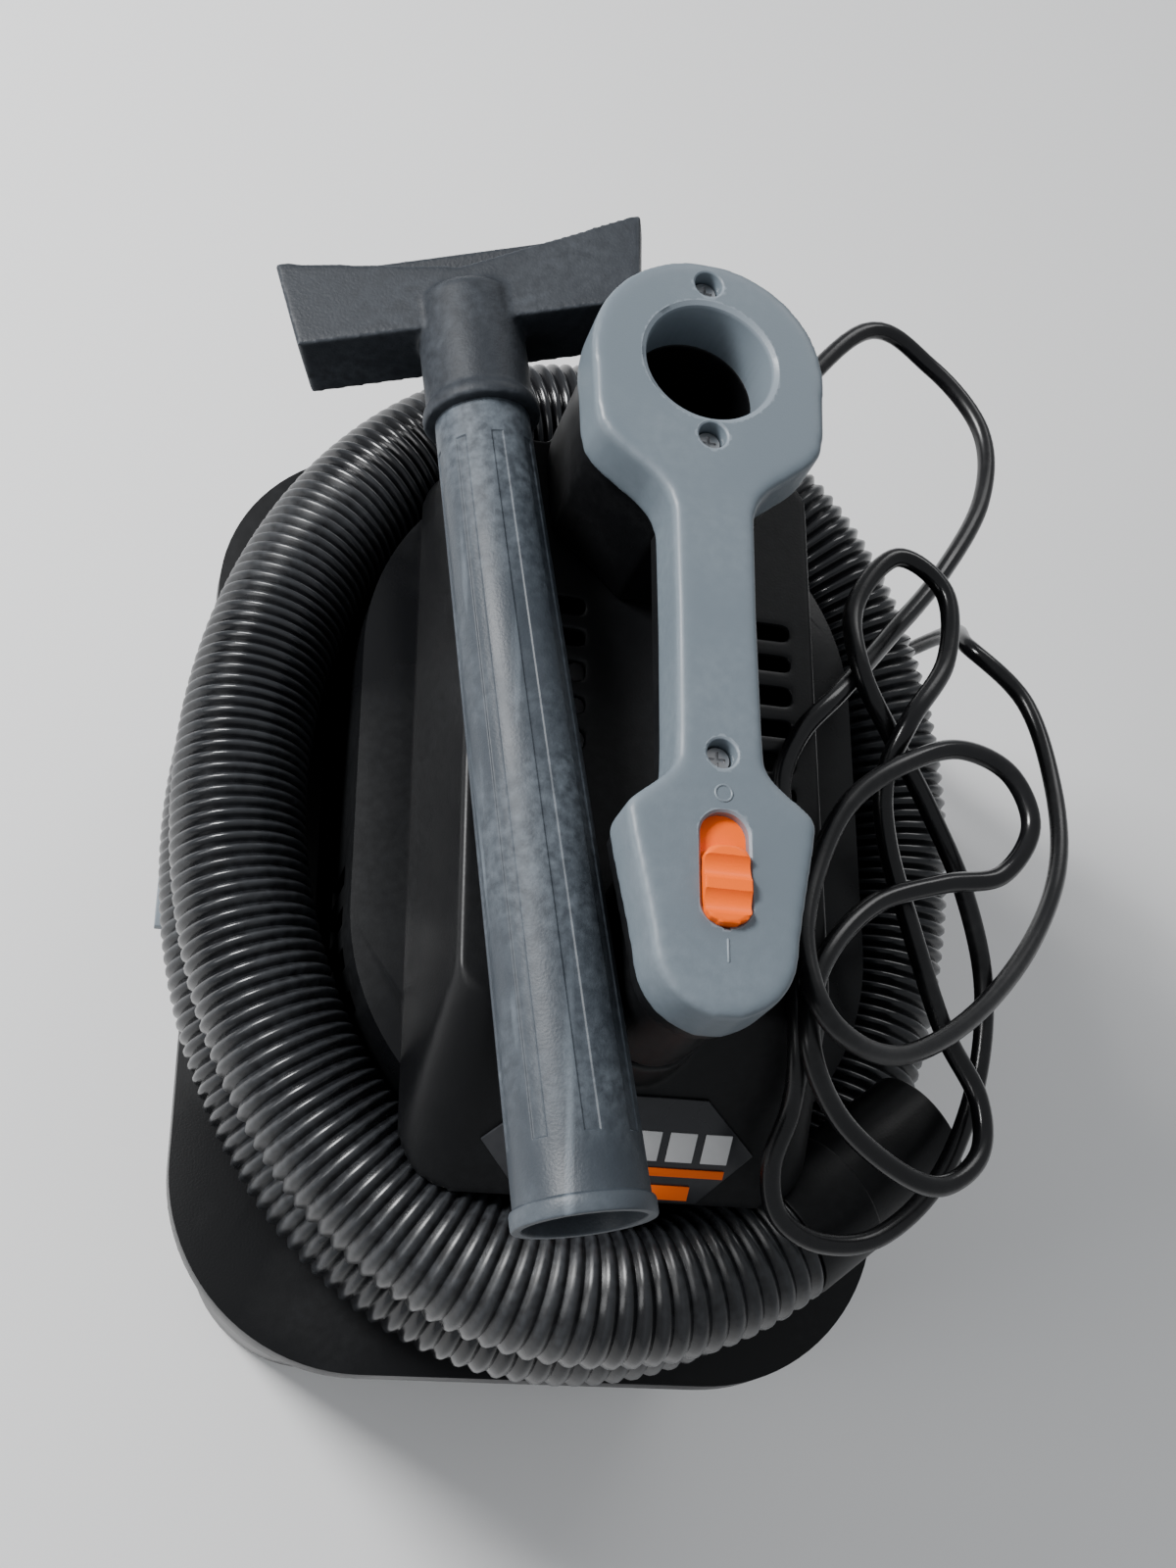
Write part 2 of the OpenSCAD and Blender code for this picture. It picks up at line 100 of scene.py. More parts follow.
def placed(obj, matrix=None):  # moves the place into the mesh, so that the object stays at the origin
    if matrix is not None:
        obj.matrix_world = matrix
    selectOnly(obj)
    bpy.ops.object.transform_apply(location=True, rotation=True, scale=True)
    return obj


def smoothShade(obj, angle=35):
    selectOnly(obj)
    bpy.ops.object.shade_smooth_by_angle(angle=math.radians(angle))
    return obj


def turned(name, profile, sides=64):  # a solid of revolution about Z
    radius, height = profile[0]
    bpy.ops.object.select_all(action="DESELECT")
    bpy.ops.mesh.primitive_circle_add(vertices=sides, radius=radius * mm, fill_type="NGON",
        location=(0, 0, height * mm))
    obj = bpy.context.object
    obj.name = name
    obj.data.name = name
    bpy.ops.object.transform_apply(location=True)
    bpy.ops.object.mode_set(mode="EDIT")
    bpy.ops.mesh.select_all(action="SELECT")
    for nextRadius, nextHeight in profile[1:]:
        bpy.ops.mesh.extrude_region_move(
            TRANSFORM_OT_translate={"value": (0, 0, (nextHeight - height) * mm)})
        factor = nextRadius / radius
        bpy.ops.transform.resize(value=(factor, factor, 1), center_override=(0, 0, nextHeight * mm))
        radius, height = nextRadius, nextHeight
    bpy.ops.object.mode_set(mode="OBJECT")
    fixNormals(obj)
    return obj


def strip(name, steps, bottom, top):  # a solid whose half width is given at each y
    y, half = steps[0]
    bpy.ops.object.select_all(action="DESELECT")
    bpy.ops.mesh.primitive_cube_add(size=1, location=(0, (y - 0.25) * mm, (bottom + top) / 2 * mm),
        scale=(2 * half * mm, 0.5 * mm, (top - bottom) * mm))
    obj = bpy.context.object
    obj.name = name
    obj.data.name = name
    bpy.ops.object.transform_apply(location=True, scale=True)
    editFaces(obj, lambda centre, normal: normal.y > 0.9)
    for nextY, nextHalf in steps[1:]:
        bpy.ops.mesh.extrude_region_move(TRANSFORM_OT_translate={"value": (0, (nextY - y) * mm, 0)})
        bpy.ops.transform.resize(value=(nextHalf / half, 1, 1), center_override=(0, nextY * mm, 0))
        y, half = nextY, nextHalf
    closeEdit()
    return obj


def remeshed(obj, voxel, rounds):  # one skin over everything, with its edges and inner corners softened
    skin = obj.modifiers.new("skin", "REMESH")
    skin.mode = "VOXEL"
    skin.voxel_size = voxel * mm
    skin.use_smooth_shade = True
    soft = obj.modifiers.new("soft", "SMOOTH")
    soft.factor = 0.5
    soft.iterations = rounds
    applyAll(obj)
    return obj


def joined(obj, *others):
    bpy.ops.object.select_all(action="DESELECT")
    for other in others:
        other.select_set(True)
    obj.select_set(True)
    bpy.context.view_layer.objects.active = obj
    bpy.ops.object.join()
    return obj


def cut(obj, *tools):
    for tool in tools:
        hole = obj.modifiers.new("hole", "BOOLEAN")
        hole.operation = "DIFFERENCE"
        hole.solver = "EXACT"
        hole.object = tool
    applyAll(obj)
    for tool in tools:
        bpy.data.objects.remove(tool)
    return obj


def nodeCopy(node, name):  # a merged copy of a frame node, ready to be finished
    obj = nodes[node].copy()
    obj.data = nodes[node].data.copy()
    obj.name = name
    obj.data.name = name
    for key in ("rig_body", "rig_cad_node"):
        del obj[key]
    obj.parent = None
    bpy.context.scene.collection.objects.link(obj)
    obj.data.materials.clear()
    obj.data.attributes.active_color = None
    selectOnly(obj)
    bpy.ops.mesh.customdata_custom_splitnormals_clear()
    bpy.ops.object.mode_set(mode="EDIT")
    bpy.ops.mesh.select_all(action="SELECT")
    bpy.ops.mesh.remove_doubles(threshold=0.02 * mm)
    bpy.ops.mesh.dissolve_limited(angle_limit=math.radians(1.5))
    bpy.ops.object.mode_set(mode="OBJECT")
    return obj


def softened(node, name, width, segments=3, angle=32):  # a frame node with its sharp edges rounded
    obj = nodeCopy(node, name)
    rounding = obj.modifiers.new("edges", "BEVEL")
    rounding.width = width * mm
    rounding.segments = segments
    rounding.limit_method = "ANGLE"
    rounding.angle_limit = math.radians(angle)
    applyAll(obj)
    return smoothShade(obj, 40)


def finished(obj, body, material, slot, *replaced):
    obj.data.materials.clear()
    obj.data.materials.append(material)
    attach(obj, body)
    if replaced:
        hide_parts(*replaced)
    return obj


view = {"azimuth": -31.44, "elevation": 62.09, "roll": 34.74, "distance": 0.6328,
        "target": (-0.0464, -0.0597, 0.430), "lens": 45.0}


def makeCamera():
    turn = math.radians(view["azimuth"])
    rise = math.radians(view["elevation"])
    roll = math.radians(view["roll"])
    back = Vector((math.sin(turn) * math.cos(rise), -math.cos(turn) * math.cos(rise), math.sin(rise)))
    right = Vector((0, 0, 1)).cross(back).normalized()
    up = back.cross(right)
    rightRolled = right * math.cos(roll) + up * math.sin(roll)
    upRolled = up * math.cos(roll) - right * math.sin(roll)
    data = bpy.data.cameras.new("camera")
    data.lens = view["lens"]
    data.sensor_width = 36
    data.clip_start = 0.01
    camera = bpy.data.objects.new("camera", data)
    bpy.context.scene.collection.objects.link(camera)
    axes = Matrix((rightRolled, upRolled, back)).transposed().to_4x4()
    camera.matrix_world = Matrix.Translation(Vector(view["target"]) + back * view["distance"]) @ axes
    bpy.context.scene.camera = camera


makeCamera()
print("camera placed")


def shader(name, roughness, specular=0.5):
    material = bpy.data.materials.new(name)
    material.use_nodes = True
    tree = material.node_tree
    surface = tree.nodes["Principled BSDF"]
    surface.inputs["Roughness"].default_value = roughness
    surface.inputs["Specular IOR Level"].default_value = specular
    place = tree.nodes.new("ShaderNodeTexCoord")
    return material, tree, surface, place


def noise(tree, place, scale, detail=3, stretch=(1, 1, 1), turn=(0, 0, 0)):
    spot = tree.nodes.new("ShaderNodeMapping")
    spot.inputs["Scale"].default_value = stretch
    spot.inputs["Rotation"].default_value = turn
    tree.links.new(place.outputs["Object"], spot.inputs["Vector"])
    grain = tree.nodes.new("ShaderNodeTexNoise")
    grain.inputs["Scale"].default_value = scale
    grain.inputs["Detail"].default_value = detail
    tree.links.new(spot.outputs["Vector"], grain.inputs["Vector"])
    return grain.outputs["Fac"]


def ramp(tree, value, low, high):  # the value spread from low to high over 0 to 1
    spread = tree.nodes.new("ShaderNodeMapRange")
    spread.inputs["From Min"].default_value = low
    spread.inputs["From Max"].default_value = high
    spread.clamp = True
    tree.links.new(value, spread.inputs["Value"])
    return spread.outputs["Result"]


def times(tree, first, second):
    product = tree.nodes.new("ShaderNodeMath")
    product.operation = "MULTIPLY"
    tree.links.new(first, product.inputs[0])
    if isinstance(second, float):
        product.inputs[1].default_value = second
    else:
        tree.links.new(second, product.inputs[1])
    return product.outputs[0]


def mixed(tree, amount, first, second):
    blend = tree.nodes.new("ShaderNodeMix")
    blend.data_type = "RGBA"
    tree.links.new(amount, blend.inputs["Factor"])
    for socket, colour in ((blend.inputs[6], first), (blend.inputs[7], second)):
        if isinstance(colour, tuple):
            socket.default_value = (*colour, 1)
        else:
            tree.links.new(colour, socket)
    return blend.outputs[2]


def bump(tree, surface, height, depth, strength=1.0):
    relief = tree.nodes.new("ShaderNodeBump")
    relief.inputs["Distance"].default_value = depth * mm
    relief.inputs["Strength"].default_value = strength
    tree.links.new(height, relief.inputs["Height"])
    tree.links.new(relief.outputs["Normal"], surface.inputs["Normal"])


def moulded(name, colour, dusty, roughness, grain=900, depth=0.06, dust=0.35, wear=0.5, specular=0.5,
            scratch=0.0, scratchTurn=(0, 0, 0)):  # plastic with grain, dust, worn edges and scuffs
    material, tree, surface, place = shader(name, roughness, specular)
    fine = noise(tree, place, grain, 2)
    patches = ramp(tree, noise(tree, place, 14, 6), 0.42, 0.72)
    specks = ramp(tree, noise(tree, place, 260, 4), 0.35, 0.8)
    amount = times(tree, times(tree, patches, specks), dust)
    base = mixed(tree, amount, colour, dusty)
    if wear:
        shape = tree.nodes.new("ShaderNodeNewGeometry")
        edge = ramp(tree, shape.outputs["Pointiness"], 0.515, 0.60)
        base = mixed(tree, times(tree, edge, wear), base, dusty)
    if scratch:
        lines = ramp(tree, noise(tree, place, 90, 5, (1, 0.05, 1), scratchTurn), 0.60, 0.72)
        base = mixed(tree, times(tree, lines, scratch), base, dusty)
    tree.links.new(base, surface.inputs["Base Color"])
    rough = tree.nodes.new("ShaderNodeMapRange")
    rough.inputs["To Min"].default_value = roughness - 0.08
    rough.inputs["To Max"].default_value = min(roughness + 0.16, 1)
    tree.links.new(patches, rough.inputs["Value"])
    tree.links.new(rough.outputs["Result"], surface.inputs["Roughness"])
    bump(tree, surface, fine, depth)
    return material


blackPlastic = moulded("blackPlastic", (0.0036, 0.0038, 0.0044), (0.032, 0.034, 0.037), 0.44, 1100, 0.05,
    0.28, 0.15, 0.26)
# a glossier copy of the black plastic with a slightly darker base colour; the darker base is painted shade
# for the deck lying in shade under the hose
deckPlasticPaintedShade = moulded("deckPlasticPaintedShade", (0.0032, 0.0034, 0.0040), (0.028, 0.030, 0.032), 0.34, 1100, 0.03,
    0.28, 0.1, 0.30)
greyPlastic = moulded("greyPlastic", (0.118, 0.146, 0.170), (0.28, 0.32, 0.36), 0.46, 1400, 0.05,
    0.25, 0.35)
orangePlastic = moulded("orangePlastic", (1.0, 0.135, 0.0), (1.0, 0.18, 0.004), 0.42, 1500, 0.03,
    0.15, 0.2, 0.3)
wandPlastic = moulded("wandPlastic", (0.034, 0.042, 0.052), (0.24, 0.28, 0.32), 0.52, 1000, 0.10,
    0.55, 0.6, 0.35, scratch=0.35, scratchTurn=(0, 0, math.radians(-7.5)))
# the wand's tool plastic at about half the brightness; the darker base is painted shade for the light falling
# off towards the front
nozzlePlasticPaintedShade = moulded("nozzlePlasticPaintedShade", (0.018, 0.021, 0.026), (0.11, 0.125, 0.145), 0.55, 900, 0.12,
    0.4, 0.5, 0.25)
hosePlastic = moulded("hosePlastic", (0.0048, 0.0050, 0.0060), (0.085, 0.092, 0.102), 0.27, 900, 0.03,
    0.45, 0.3, 0.5)
rubber = moulded("rubber", (0.015, 0.015, 0.015), (0.06, 0.06, 0.06), 0.7, 1200, 0.08, 0.3, 0.2)
cordJacket = moulded("cordJacket", (0.0042, 0.0042, 0.0050), (0.04, 0.04, 0.04), 0.26, 700, 0.02, 0.40,
    0.0, 0.45)
badgeFilm = moulded("badgeFilm", (0.020, 0.021, 0.024), (0.07, 0.07, 0.075), 0.30, 2500, 0.01, 0.3, 0.0)
whiteInk = moulded("whiteInk", (0.62, 0.62, 0.62), (0.40, 0.40, 0.40), 0.45, 2500, 0.01, 0.4, 0.0)
whitePlastic = moulded("whitePlastic", (0.70, 0.70, 0.68), (0.5, 0.5, 0.48), 0.35, 1500, 0.02, 0.3, 0.0)
paper = moulded("paper", (0.72, 0.70, 0.64), (0.45, 0.42, 0.37), 0.9, 500, 0.2, 0.5, 0.0, 0.2)
foam = moulded("foam", (0.05, 0.05, 0.055), (0.10, 0.10, 0.10), 0.95, 400, 0.5, 0.4, 0.0, 0.1)
carbon = moulded("carbon", (0.03, 0.03, 0.032), (0.07, 0.07, 0.07), 0.55, 900, 0.05, 0.3, 0.0)


def metal(name, colour, roughness, brush=(1, 1, 1)):
    material, tree, surface, place = shader(name, roughness)
    surface.inputs["Metallic"].default_value = 1
    lines = noise(tree, place, 300, 4, brush)
    darker = tuple(part * 0.75 for part in colour)
    tree.links.new(mixed(tree, lines, colour, darker), surface.inputs["Base Color"])
    bump(tree, surface, lines, 0.03)
    return material


steel = metal("steel", (0.60, 0.60, 0.61), 0.32, (1, 1, 0.1))
brass = metal("brass", (0.75, 0.60, 0.32), 0.28)
castMetal = metal("castMetal", (0.62, 0.63, 0.65), 0.5)
copper = metal("copper", (0.60, 0.26, 0.12), 0.4, (1, 1, 12))

slotMaterials = {"black_plastic": blackPlastic, "grey_plastic": greyPlastic,
    "orange_plastic": orangePlastic, "tool_plastic": wandPlastic, "hose_plastic": hosePlastic,
    "rubber": rubber, "cord_jacket": cordJacket, "steel": steel, "blade_metal": brass,
    "cast_metal": castMetal, "winding": copper, "carbon": carbon, "foam": foam, "filter_paper": paper,
    "white_plastic": whitePlastic, "badge_plastic": badgeFilm}


def paintNodes():
    for part in frame["record"]["subparts"]:
        node = nodes[part["node"]]
        node.data.materials.clear()
        node.data.materials.append(slotMaterials[part["material_slot"]])


paintNodes()
print("materials made")


def splinePoints(route, count):  # the same smooth curve that the frame's tubes follow
    points = [Vector(p) for p in route]
    last = len(points) - 1
    out = []
    for i in range(last):
        a = points[i - 1] if i else 2 * points[0] - points[1]
        b = points[i]
        c = points[i + 1]
        d = points[i + 2] if i + 2 <= last else 2 * points[last] - points[last - 1]
        for j in range(count):
            t = j / count
            out.append((2 * b + (c - a) * t + (2 * a - 5 * b + 4 * c - d) * t * t
                + (3 * b - a - 3 * c + d) * t ** 3) / 2)
    out.append(points[last])
    return out


def pathLength(points):
    return sum((b - a).length for a, b in zip(points, points[1:]))


def evenly(points, step):  # points the same distance apart along a path
    total = pathLength(points)
    count = max(2, round(total / step))
    gap = total / count
    out = [points[0].copy()]
    gone = 0.0
    for a, b in zip(points, points[1:]):
        length = (b - a).length
        while gone + length >= gap * len(out) - 1e-9 and len(out) < count:
            out.append(a.lerp(b, (gap * len(out) - gone) / length))
        gone += length
    out.append(points[-1].copy())
    return out


def sweep(name, points, radii, sides):  # a closed tube of rings along the points, carried along without twist
    mesh = bmesh.new()
    side = None
    rings = []
    for i, point in enumerate(points):
        ahead = points[min(i + 1, len(points) - 1)]
        behind = points[max(i - 1, 0)]
        along = (ahead - behind).normalized()
        if side is None:
            side = along.cross(Vector((0, 0, 1)))
        side = (side - along * side.dot(along)).normalized()
        other = along.cross(side)
        ring = []
        for k in range(sides):
            angle = 2 * math.pi * k / sides
            ring.append(mesh.verts.new(point + radii[i] * (side * math.cos(angle) + other * math.sin(angle))))
        rings.append(ring)
    for near, far in zip(rings, rings[1:]):
        for k in range(sides):
            mesh.faces.new((near[k], near[(k + 1) % sides], far[(k + 1) % sides], far[k]))
    mesh.faces.new(list(reversed(rings[0])))
    mesh.faces.new(rings[-1])
    data = bpy.data.meshes.new(name)
    bmesh.ops.recalc_face_normals(mesh, faces=mesh.faces)
    mesh.to_mesh(data)
    mesh.free()
    obj = bpy.data.objects.new(name, data)
    bpy.context.scene.collection.objects.link(obj)
    return smoothShade(obj, 60)


cordFacts = {"diameter": 8, "exitTurn": 40, "exitZ": 322, "ringY": 114, "towerR": 40.5, "reliefL": 38,
    "coilAt": (90, 300), "coilTurns": 13.75, "coilRadii": (56, 48, 40)}
cordRoute = [
    (113, 228, 319), (150, 223, 309), (173, 193, 308), (169, 154, 310), (143, 109, 317),
    (110, 67, 330), (80, 30, 347), (61, 8, 350), (52, -14, 350), (54, -37, 350), (56, -65, 350),
    (54, -96, 351), (56, -120, 345), (58, -136, 330), (54, -154, 319), (60, -170, 309),
    (79, -178, 303), (105, -173, 298), (131, -150, 297), (149, -113, 298), (154, -73, 303),
    (145, -37, 311), (127, -7, 322), (106, 16, 337), (88, 38, 350), (88, 69, 347), (109, 96, 345),
    (130, 83, 344), (127, 50, 346), (108, 20, 349), (100, -2, 339), (104, -26, 329), (115, -58, 322),
    (128, -96, 317), (141, -122, 316), (138, -145, 319), (118, -159, 325), (94, -154, 333),
    (70, -139, 344), (56, -117, 357), (62, -88, 357), (87, -60, 349), (119, -46, 343), (147, -38, 339),
    (162, -16, 339), (153, 5, 342), (128, 10, 348), (100, -3, 354), (77, -22, 356), (61, -51, 360),
    (52, -84, 366), (60, -113, 368), (94, -117, 347), (136, -93, 325), (177, -52, 302), (205, -7, 282),
    (215, 39, 267), (210, 84, 258), (186, 112, 253), (204, 148, 200), (208, 185, 90), (200, 225, 16),
    (166, 244, 4), (128, 244, 4), (92, 244, 4)]
exitDirection = Vector((math.cos(math.radians(cordFacts["exitTurn"])),
    math.sin(math.radians(cordFacts["exitTurn"])), 0))
reliefStart = Vector((0, cordFacts["ringY"], cordFacts["exitZ"])) + exitDirection * cordFacts["towerR"]
reliefEnd = reliefStart + exitDirection * cordFacts["reliefL"]


def coilPoint(turns):  # layers of turns, clockwise from the coil's front
    radii = cordFacts["coilRadii"]
    gauge = cordFacts["diameter"]

    def turnAt(index):
        layer, place = divmod(index, len(radii))
        return radii[place if layer % 2 == 0 else -1 - place], gauge * (layer + 0.5)

    index = int(turns)
    part = turns - index
    change = max(0.0, (part - 0.85) / 0.15)
    change = change * change * (3 - 2 * change)
    radius, height = turnAt(index)
    nextRadius, nextHeight = turnAt(index + 1)
    radius += (nextRadius - radius) * change
    height += (nextHeight - height) * change
    angle = math.radians(-90 - 360 * turns)
    x, y = cordFacts["coilAt"]
    return Vector((x + radius * math.cos(angle), y + radius * math.sin(angle), height))


def cordPath():
    lying = splinePoints([reliefEnd] + cordRoute, 10)
    steps = int(cordFacts["coilTurns"] * 32)
    wound = [coilPoint(i / 32) for i in range(1, steps + 1)]
    leaving = [wound[-1], (137, 286, 41), (131, 270, 47), (122, 257, 50), (112, 252, 49), (104, 252, 49)]
    return [p * mm for p in lying + wound[:-1] + splinePoints(leaving, 6)]


def makeCord():
    points = cordPath()
    radius = cordFacts["diameter"] / 2 * mm
    cord = sweep("powerCord", points, [radius] * len(points), 14)
    finished(cord, "head", cordJacket, "cord_jacket", "power_cord", "cord_coil")
    relief = turned("strainRelief", reliefProfile(), 48)
    placed(relief, Matrix.Translation(reliefStart * mm)
        @ exitDirection.to_track_quat("Z", "Y").to_matrix().to_4x4())
    smoothShade(relief)
    finished(relief, "head", rubber, "cord_jacket", "strain_relief")
    plug = softened("plug_body", "plugBody", 2.2, 4, 25)
    finished(plug, "head", cordJacket, "cord_jacket", "plug_body")
    tie = makeTie()
    print("cord length", round(pathLength(points), 3))


def reliefProfile():  # a tapered sleeve with five grooves
    rings = [(9.5, -2), (9.5, 3), (8.6, 4)]
    for i in range(5):
        start = 7 + i * 5.6
        outer = 8.2 - i * 0.6
        rings += [(outer, start), (outer - 1.4, start + 0.5), (outer - 1.4, start + 2.0),
            (outer - 0.2, start + 2.5)]
    return rings + [(5.2, 36), (4.3, 38)]


tieFacts = {"width": 16, "reach": 27.6, "height": 42, "thickness": 1.3}


def makeTie():  # a strap round one side of the coil
    x, y = cordFacts["coilAt"]
    bpy.ops.object.select_all(action="DESELECT")
    bpy.ops.mesh.primitive_cube_add(size=1, location=(x * mm, (y + 48) * mm, 20.2 * mm),
        scale=(tieFacts["width"] * mm, tieFacts["reach"] * mm, tieFacts["height"] * mm))
    tie = bpy.context.object
    tie.name = "coilTie"
    bpy.ops.object.transform_apply(location=True, scale=True)
    editFaces(tie, lambda centre, normal: abs(normal.x) > 0.9)
    bpy.ops.mesh.inset(thickness=tieFacts["thickness"] * mm)
    bpy.ops.mesh.bridge_edge_loops()
    closeEdit()
    edges = tie.modifiers.new("edges", "BEVEL")
    edges.width = 0.6 * mm
    edges.segments = 2
    applyAll(tie)
    smoothShade(tie)
    return finished(tie, "head", rubber, "rubber")


makeCord()


hoseFacts = {"radius": 27.0, "groove": 2.3, "pitch": 5.4, "centreX": 4, "halfX": 148, "halfY": 194,
    "lowZ": 207, "highZ": 262, "climb": (330, 420), "start": 112, "end": 660, "portX": -14, "portY": 189}


def hosePoint(angle):
    low, high = hoseFacts["climb"]
    part = min(max((angle - low) / (high - low), 0), 1)
    turn = math.radians(angle)
    return Vector((hoseFacts["centreX"] + hoseFacts["halfX"] * math.cos(turn),
        hoseFacts["halfY"] * math.sin(turn),
        hoseFacts["lowZ"] + (hoseFacts["highZ"] - hoseFacts["lowZ"]) * part * part * (3 - 2 * part)))


def ribRings(path):  # ring centres and radii, five rings to a rib
    depth = hoseFacts["groove"]
    shape = (depth, depth * 0.5, 0.1, 0.1, depth * 0.5)
    centreX = hoseFacts["centreX"] * mm
    centres, radii, phase = [], [], 0.0
    fine = evenly(path, 0.25 * mm)
    for i, point in enumerate(fine):
        if i:
            turn = math.atan2(point.y / hoseFacts["halfY"], (point.x - centreX) / hoseFacts["halfX"])
            pitch = hoseFacts["pitch"] * (1 + 0.24 * max(0, -math.sin(turn)) - 0.14 * max(0, -math.cos(turn)))
            phase += (point - fine[i - 1]).length / mm / pitch * 5
        if phase >= len(centres):
            radii.append((hoseFacts["radius"] - shape[len(centres) % 5]) * mm)
            centres.append(point)
    return centres, radii


def makeHose():
    start = Vector((hoseFacts["portX"], hoseFacts["portY"], hoseFacts["lowZ"]))
    lead = [start, start + Vector((-18, -2, 0))]
    angles = range(hoseFacts["start"], hoseFacts["end"] + 1, 4)
    route = splinePoints(lead + [hosePoint(a) for a in angles], 6)
    path = [p * mm for p in route]
    rings, radii = ribRings(path)
    hose = sweep("suctionHose", rings, radii, 44)
    finished(hose, "head", hosePlastic, "hose_plastic", "hose")
    cuff = softened("hose_cuff_free", "hoseCuffFree", 1.6, 3)
    finished(cuff, "head", blackPlastic, "black_plastic", "hose_cuff_free")
    inlet = softened("hose_cuff_inlet", "hoseCuffInlet", 1.2, 3)
    finished(inlet, "head", blackPlastic, "black_plastic", "hose_cuff_inlet")
    print("hose length", round(pathLength(path), 3))


makeHose()
print("cord and hose made")


handle = {"top": 430, "seam": 405, "ringY": 114, "ringR": 44.5, "holeR": 24, "grip": 15, "tipY": -109,
    "tipR": 25, "screws": (148, 82, -43), "switchY": -84}


def handleSteps():  # half width of the handle at each y, from the front tip to the back of the ring
    steps = []
    for degrees in range(12, 91, 6):
        angle = math.radians(degrees)
        steps.append((handle["tipY"] - handle["tipR"] * math.cos(angle), handle["tipR"] * math.sin(angle)))
    grip = handle["grip"]
    steps += [(-98, 26.9), (-82, 30), (-70, 32.3), (-65, 32.8),
        (-62, 32), (-56, 24.5), (-51, 18.5), (-46, grip + 0.6), (-32, grip),
        (12, grip - 0.4), (51, grip + 0.2), (57, grip + 2), (63, 21.5), (72, 33),
        (77, 38.5), (82, 42), (90, 43.4)]
    for degrees in range(0, 85, 6):
        angle = math.radians(degrees)
        steps.append((handle["ringY"] + handle["ringR"] * math.sin(angle), handle["ringR"] * math.cos(angle)))
    return steps


def roundCutter(x, y, radius, low, high, flare):
    tool = turned("cutter", [(radius, low), (radius, high - flare),
        (radius + flare * 0.3, high - flare * 0.4),
        (radius + flare, high), (radius + flare + 1, high + 2)], 72)
    return placed(tool, Matrix.Translation((x * mm, y * mm, 0)))


def slotCutter(y, half, length, low, high, flare):  # a slot with round ends
    steps = []
    for degrees in range(8, 91, 7):
        angle = math.radians(degrees)
        steps.append((y - length / 2 + half - half * math.cos(angle), half * math.sin(angle)))
    steps += [(2 * y - a, b) for a, b in reversed(steps)]
    tool = strip("cutter", steps, low, high - flare)
    editFaces(tool, lambda centre, normal: normal.z > 0.9)
    bpy.ops.mesh.extrude_region_move(TRANSFORM_OT_translate={"value": (0, 0, flare * mm)})
    grow = 1 + flare / half
    bpy.ops.transform.resize(value=(grow, 1 + flare / (length / 2), 1),
        center_override=(0, y * mm, 0))
    bpy.ops.mesh.extrude_region_move(TRANSFORM_OT_translate={"value": (0, 0, 2 * mm)})
    closeEdit()
    fixNormals(tool)
    return tool


def makeHandleTop():
    top = strip("handleTop", handleSteps(), handle["seam"] + 0.2, handle["top"])
    remeshed(top, 1.3, 22)
    tools = [roundCutter(0, handle["ringY"], handle["holeR"], handle["seam"] - 3, handle["top"], 2.4)]
    for y in handle["screws"]:
        tools.append(roundCutter(0, y, 5.2, handle["top"] - 9, handle["top"], 0.9))
    tools.append(slotCutter(handle["switchY"], 8.5, 40, handle["top"] - 9, handle["top"], 0.8))
    cut(top, *tools)
    smoothShade(top, 28)
    finished(top, "head", greyPlastic, "grey_plastic", "handle_top")
    print("handle top made")


def makeMarks():  # a ring and a bar, moulded proud beside the switch
    bpy.ops.object.select_all(action="DESELECT")
    bpy.ops.mesh.primitive_torus_add(major_radius=2.9 * mm, minor_radius=0.5 * mm, major_segments=40,
        minor_segments=10, location=(0, -57.5 * mm, (handle["top"] - 0.15) * mm))
    ring = placed(bpy.context.object)
    ring.name = "offMark"
    bar = turned("onMark", [(0.35, -4), (0.5, -3.7), (0.5, 3.7), (0.35, 4)], 12)
    placed(bar, Matrix.Translation((0, -112 * mm, (handle["top"] - 0.15) * mm))
        @ Matrix.Rotation(math.radians(90), 4, "X"))
    for mark in (ring, bar):
        smoothShade(mark)
        finished(mark, "head", greyPlastic, "grey_plastic")


button = {"bumpY": -90, "bumpL": 27, "top": 433}


def makeSwitchButton():
    plate = nodeCopy("switch_button", "switchButton")
    raised = strip("bump", [(button["bumpY"] - button["bumpL"] / 2 + 0.3, 3.5), (button["bumpY"] - 12, 6.3),
        (button["bumpY"] - 9.5, 7.8), (button["bumpY"] + 9.5, 7.8), (button["bumpY"] + 12, 6.3),
        (button["bumpY"] + button["bumpL"] / 2 - 0.3, 3.5)], handle["top"] - 5, button["top"] - 0.4)
    joined(plate, raised)
    remeshed(plate, 0.5, 6)
    tools = []
    for y in (-6.5, 5.5):
        groove = turned("cutter", [(5.5, -12), (5.5, 12)], 48)
        placed(groove, Matrix.Translation((0, (button["bumpY"] + y) * mm, (button["top"] + 3.6) * mm))
            @ Matrix.Rotation(math.radians(90), 4, "Y"))
        tools.append(groove)
    cut(plate, *tools)
    smoothShade(plate, 35)
    finished(plate, "switch_button", orangePlastic, "orange_plastic", "switch_button")
    print("switch made")


def makeHandleBase():
    for node, name in (("handle_base", "handleBase"), ("handle_pillar", "handlePillar")):
        base = nodeCopy(node, name)
        remeshed(base, 1.4, 7)
        smoothShade(base, 50)
        finished(base, "head", blackPlastic, "black_plastic", node)
    underside = softened("grip_underside", "gripUnderside", 4.5, 4, 40)
    finished(underside, "head", blackPlastic, "black_plastic", "grip_underside")


makeHandleTop()
makeMarks()
makeSwitchButton()
makeHandleBase()


def makeCover():
    cover = nodeCopy("motor_cover", "motorCover")
    remeshed(cover, 1.5, 6)
    smoothShade(cover, 50)
    finished(cover, "head", blackPlastic, "black_plastic", "motor_cover")


